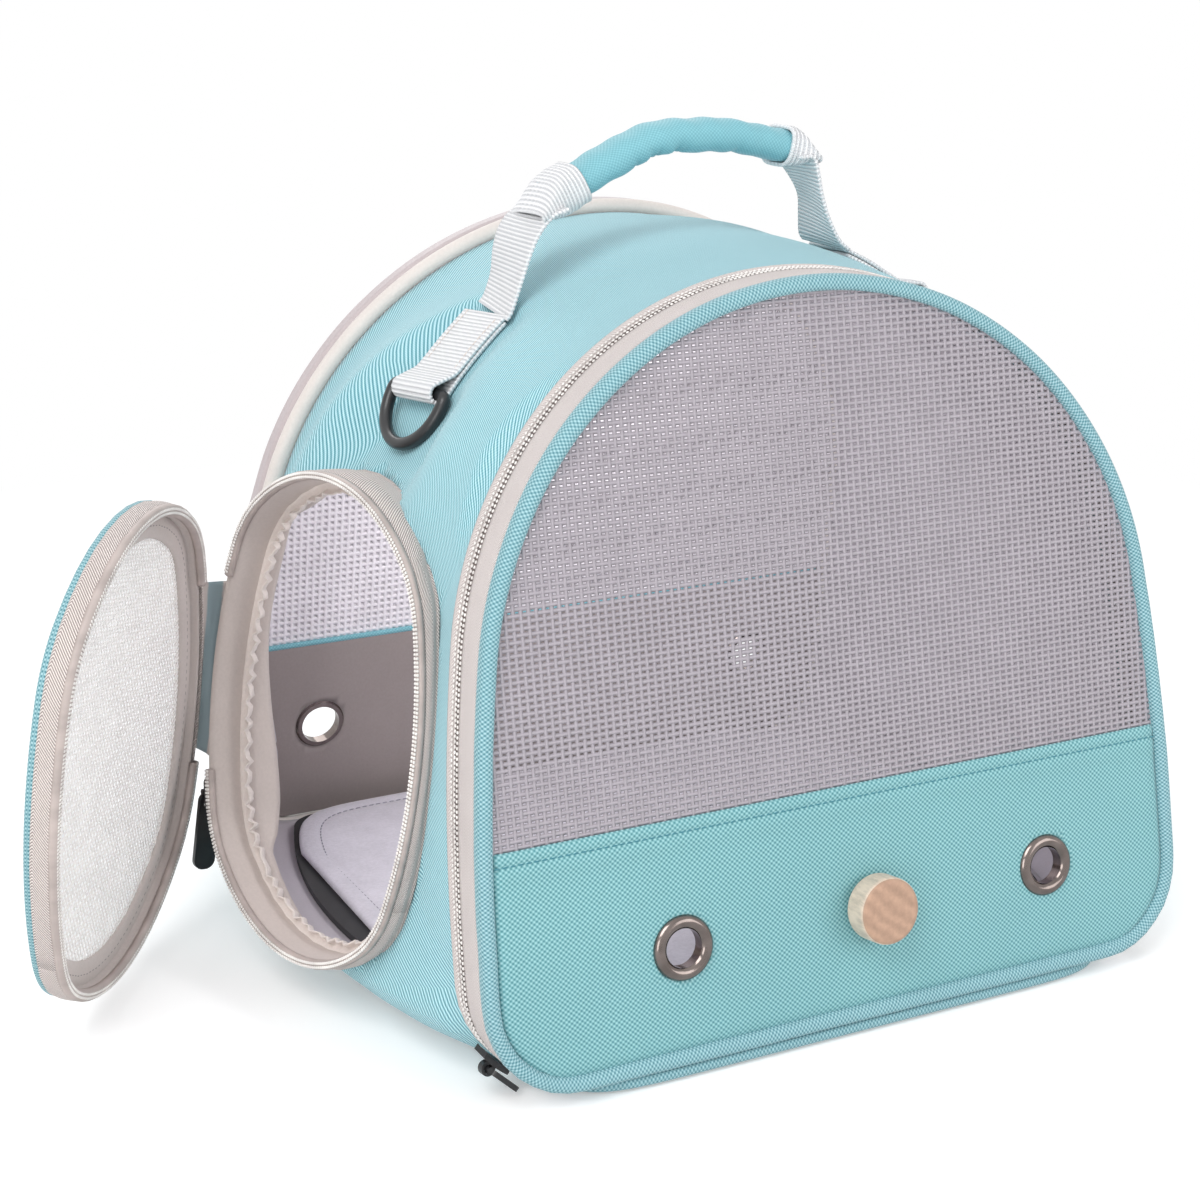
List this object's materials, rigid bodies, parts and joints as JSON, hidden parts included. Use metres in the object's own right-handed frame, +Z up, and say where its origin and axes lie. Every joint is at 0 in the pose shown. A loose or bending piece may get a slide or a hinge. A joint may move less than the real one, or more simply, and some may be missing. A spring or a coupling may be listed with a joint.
{
  "type": "bird_travel_carrier",
  "caption": "Soft teal travel carrier for a small bird: mesh front and back, open oval side door with zip, perch knob and eyelets on the front, padded webbing handle with D-rings",
  "frame": {"origin": "on the ground under the middle of the cabin, x across, y in depth", "axes": "X to the right seen from the front, -Y towards the front panel, Z up"},
  "size_m": [0.458, 0.3109, 0.3344],
  "materials": {
    "teal_oxford": "matte",
    "teal_binding": "matte",
    "beige_tape": "matte",
    "cream_piping": "matte",
    "grey_lining": "matte",
    "taupe_cloth": "matte",
    "window_mesh": "matte",
    "white_mesh": "matte",
    "mat_felt": "matte",
    "webbing": "matte",
    "board_plastic": "matte",
    "stiffener_plastic": "matte",
    "black_plastic": "satin",
    "coil_nylon": "satin",
    "eyelet_metal": "polished",
    "steel": "satin",
    "pale_wood": "satin"
  },
  "bodies": {
    "carrier": {"gusset_cloth": "teal_oxford", "gusset_stiffener": "stiffener_plastic", "gusset_lining": "grey_lining", "base_panel": "teal_oxford", "base_board": "board_plastic", "back_lower_band": "taupe_cloth", "back_window_mesh": "window_mesh", "back_eyelets": "eyelet_metal", "back_piping": "cream_piping", "back_binding": "beige_tape", "gusset_zip_coil": "coil_nylon", "door_collar": "beige_tape", "door_collar_tape": "beige_tape", "door_collar_coil": "coil_nylon", "door_frill": "beige_tape", "door_hinge_strip": "beige_tape", "door_slider": "black_plastic", "anchor_left": "webbing", "anchor_right": "webbing"},
    "front_panel": {"front_lower_band": "teal_oxford", "front_window_mesh": "window_mesh", "front_binding": "teal_binding", "front_zip_tape": "beige_tape", "front_zip_coil": "coil_nylon", "front_eyelets": "eyelet_metal", "perch_stud": "steel", "perch_washers": "steel", "perch": "pale_wood"},
    "knob": {"perch_knob": "pale_wood"},
    "side_door": {"leaf_coil": "coil_nylon", "leaf_tape": "beige_tape", "leaf_frame": "beige_tape", "leaf_window": "white_mesh", "leaf_piping": "teal_oxford"},
    "zip_slider": {"front_slider": "black_plastic"},
    "zip_pull": {"front_pull": "black_plastic"},
    "door_zip_pull": {"door_pull": "black_plastic"},
    "ring_left": {"d_ring_left": "black_plastic"},
    "ring_right": {"d_ring_right": "black_plastic"},
    "handle": {"handle_grip": "teal_oxford", "handle_wraps": "webbing", "strap_left": "webbing", "strap_right": "webbing"},
    "mat": {"floor_mat": "mat_felt"}
  },
  "joints": [
    {"name": "front_panel_fold", "type": "hinge", "parent": "carrier", "child": "front_panel", "pos_m": [0, -0.1425, 0.006], "axis": [1, 0, 0], "range_deg": [0, 80]},
    {"name": "knob_turn", "type": "hinge", "parent": "front_panel", "child": "knob", "pos_m": [0.007, -0.1339, 0.04985], "axis": [0, -0.9853, 0.1707], "continuous": true},
    {"name": "side_door_swing", "type": "hinge", "parent": "carrier", "child": "side_door", "pos_m": [-0.18784, 0.06669, 0.1139], "axis": [0.1331, -0.057, -0.9895], "range_deg": [-48.6, 95], "deforming": ["door_hinge_strip"]},
    {"name": "zip_slider_travel", "type": "hinge", "parent": "carrier", "child": "zip_slider", "pos_m": [-0.12, -0.1141, 0.04147], "axis": [0, 0.9853, -0.1707], "range_deg": [0, 30]},
    {"name": "zip_pull_swing", "type": "hinge", "parent": "zip_slider", "child": "zip_pull", "pos_m": [-0.14904, -0.11924, 0.01184], "axis": [0, 0.9853, -0.1707], "range_deg": [0, 100]},
    {"name": "door_pull_swing", "type": "hinge", "parent": "carrier", "child": "door_zip_pull", "pos_m": [-0.1899, 0.0649, 0.06153], "axis": [-0.9738, -0.1682, 0.153], "range_deg": [-12, 8]},
    {"name": "ring_left_lift", "type": "hinge", "parent": "carrier", "child": "ring_left", "pos_m": [-0.11616, 0.00695, 0.23573], "axis": [-0.1045, 0.9945, 0], "range_deg": [0, 110]},
    {"name": "ring_right_lift", "type": "hinge", "parent": "carrier", "child": "ring_right", "pos_m": [0.10747, 0.00695, 0.25923], "axis": [-0.1045, -0.9945, 0], "range_deg": [0, 110]},
    {"name": "handle_swing", "type": "hinge", "parent": "carrier", "child": "handle", "pos_m": [-0.08484, 0.009, 0.26349], "axis": [0.9945, 0, 0.1045], "range_deg": [-45, 45], "deforming": ["strap_left", "strap_right"]},
    {"name": "mat_lift", "type": "slide", "parent": "carrier", "child": "mat", "axis": [0, 0, 1], "range_m": [0, 0.007]}
  ]
}
